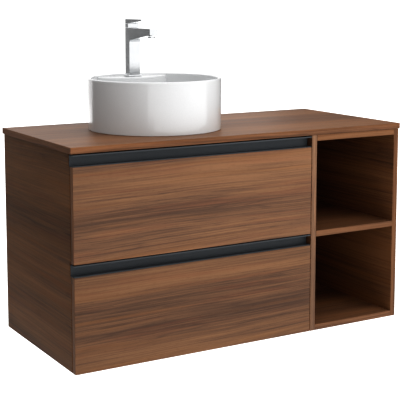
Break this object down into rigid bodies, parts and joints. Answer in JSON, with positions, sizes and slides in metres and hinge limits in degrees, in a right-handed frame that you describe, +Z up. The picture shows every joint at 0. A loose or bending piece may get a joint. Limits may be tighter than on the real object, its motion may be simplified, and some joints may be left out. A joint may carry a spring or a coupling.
{
  "type": "vessel sink on vanity",
  "caption": "Wall-hung walnut-effect vanity with grip-profile drawers, an open niche, a round white vessel basin and a tall chrome mixer tap.",
  "frame": {"origin": "on the wall face of the upper hanging rail, half way up the rail and midway between the cabinet's two ends", "axes": "+X to the right seen from the front, +Y into the wall, +Z up; the drawers open towards -Y"},
  "size_m": [1.01, 0.46, 0.8505],
  "materials": {
    "walnut": "walnut-effect laminate on board, fine horizontal grain, satin",
    "drawer_board": "plain grey laminate on board, matt",
    "anthracite": "anthracite powder coat on aluminium, satin",
    "runner_steel": "zinc-plated sheet steel",
    "chrome": "polished chrome plate",
    "ceramic": "glossy white glaze",
    "rubber": "matt black rubber",
    "plastic": "off-white moulded plastic"
  },
  "bodies": {
    "root": {"basin": "ceramic", "bay_bottom_panel": "walnut", "countertop": "walnut", "divider_panel": "walnut", "front_top_rail": "walnut", "hanger_centre": "runner_steel", "hanger_left": "runner_steel", "hanger_right": "runner_steel", "left_side_panel": "walnut", "lower_left_fixed_rail": "runner_steel", "lower_right_fixed_rail": "runner_steel", "niche_back_panel": "walnut", "niche_bottom_panel": "walnut", "niche_hanging_rail": "walnut", "niche_shelf": "walnut", "niche_top_panel": "walnut", "rear_bottom_rail": "walnut", "rear_top_rail": "walnut", "right_side_panel": "walnut", "tap_aerator": "chrome", "tap_base_plate": "chrome", "tap_body": "chrome", "tap_cartridge": "plastic", "tap_fixing_nut": "runner_steel", "tap_shank": "runner_steel", "trap_bottle": "chrome", "trap_cup": "chrome", "trap_outlet_arm": "chrome", "trap_tailpiece": "chrome", "trap_union_nut": "chrome", "upper_left_fixed_rail": "runner_steel", "upper_right_fixed_rail": "runner_steel", "waste_body": "chrome", "waste_gasket": "rubber", "waste_nut": "chrome"},
    "upper_drawer": {"upper_drawer_back_left": "drawer_board", "upper_drawer_back_right": "drawer_board", "upper_drawer_bottom": "drawer_board", "upper_drawer_front": "walnut", "upper_drawer_left_side": "drawer_board", "upper_drawer_right_side": "drawer_board", "upper_drawer_siphon_wall": "drawer_board", "upper_grip_profile": "anthracite", "upper_left_drawer_rail": "runner_steel", "upper_right_drawer_rail": "runner_steel"},
    "upper_runner_middles": {"upper_left_middle_rail": "runner_steel", "upper_right_middle_rail": "runner_steel"},
    "lower_drawer": {"lower_drawer_back": "drawer_board", "lower_drawer_bottom": "drawer_board", "lower_drawer_front": "walnut", "lower_drawer_left_side": "drawer_board", "lower_drawer_right_side": "drawer_board", "lower_grip_profile": "anthracite", "lower_left_drawer_rail": "runner_steel", "lower_right_drawer_rail": "runner_steel"},
    "lower_runner_middles": {"lower_left_middle_rail": "runner_steel", "lower_right_middle_rail": "runner_steel"},
    "tap_lever_neck": {"tap_lever_neck": "chrome"},
    "tap_lever": {"tap_lever": "chrome"},
    "waste_plug": {"waste_plug": "chrome"}
  },
  "joints": [
    {"name": "upper_drawer_slide", "type": "slide", "parent": "root", "child": "upper_drawer", "axis": [0, -1, 0], "range_m": [0, 0.38]},
    {"name": "upper_runner_slide", "type": "slide", "parent": "root", "child": "upper_runner_middles", "axis": [0, -1, 0], "range_m": [0, 0.19]},
    {"name": "lower_drawer_slide", "type": "slide", "parent": "root", "child": "lower_drawer", "axis": [0, -1, 0], "range_m": [0, 0.38]},
    {"name": "lower_runner_slide", "type": "slide", "parent": "root", "child": "lower_runner_middles", "axis": [0, -1, 0], "range_m": [0, 0.19]},
    {"name": "tap_lever_turn", "type": "hinge", "parent": "root", "child": "tap_lever_neck", "pos_m": [-0.15, -0.0875, 0.34], "axis": [0, 0, 1], "range_deg": [-45, 45]},
    {"name": "tap_lever_lift", "type": "hinge", "parent": "tap_lever_neck", "child": "tap_lever", "pos_m": [-0.15, -0.075, 0.34615], "axis": [-1, 0, 0], "range_deg": [0, 25]},
    {"name": "waste_plug_rise", "type": "slide", "parent": "root", "child": "waste_plug", "axis": [0, 0, 1], "range_m": [0, 0.008]}
  ],
  "couplings": [
    {"joint": "upper_runner_slide", "follows": "upper_drawer_slide", "ratio": 0.5},
    {"joint": "lower_runner_slide", "follows": "lower_drawer_slide", "ratio": 0.5}
  ]
}
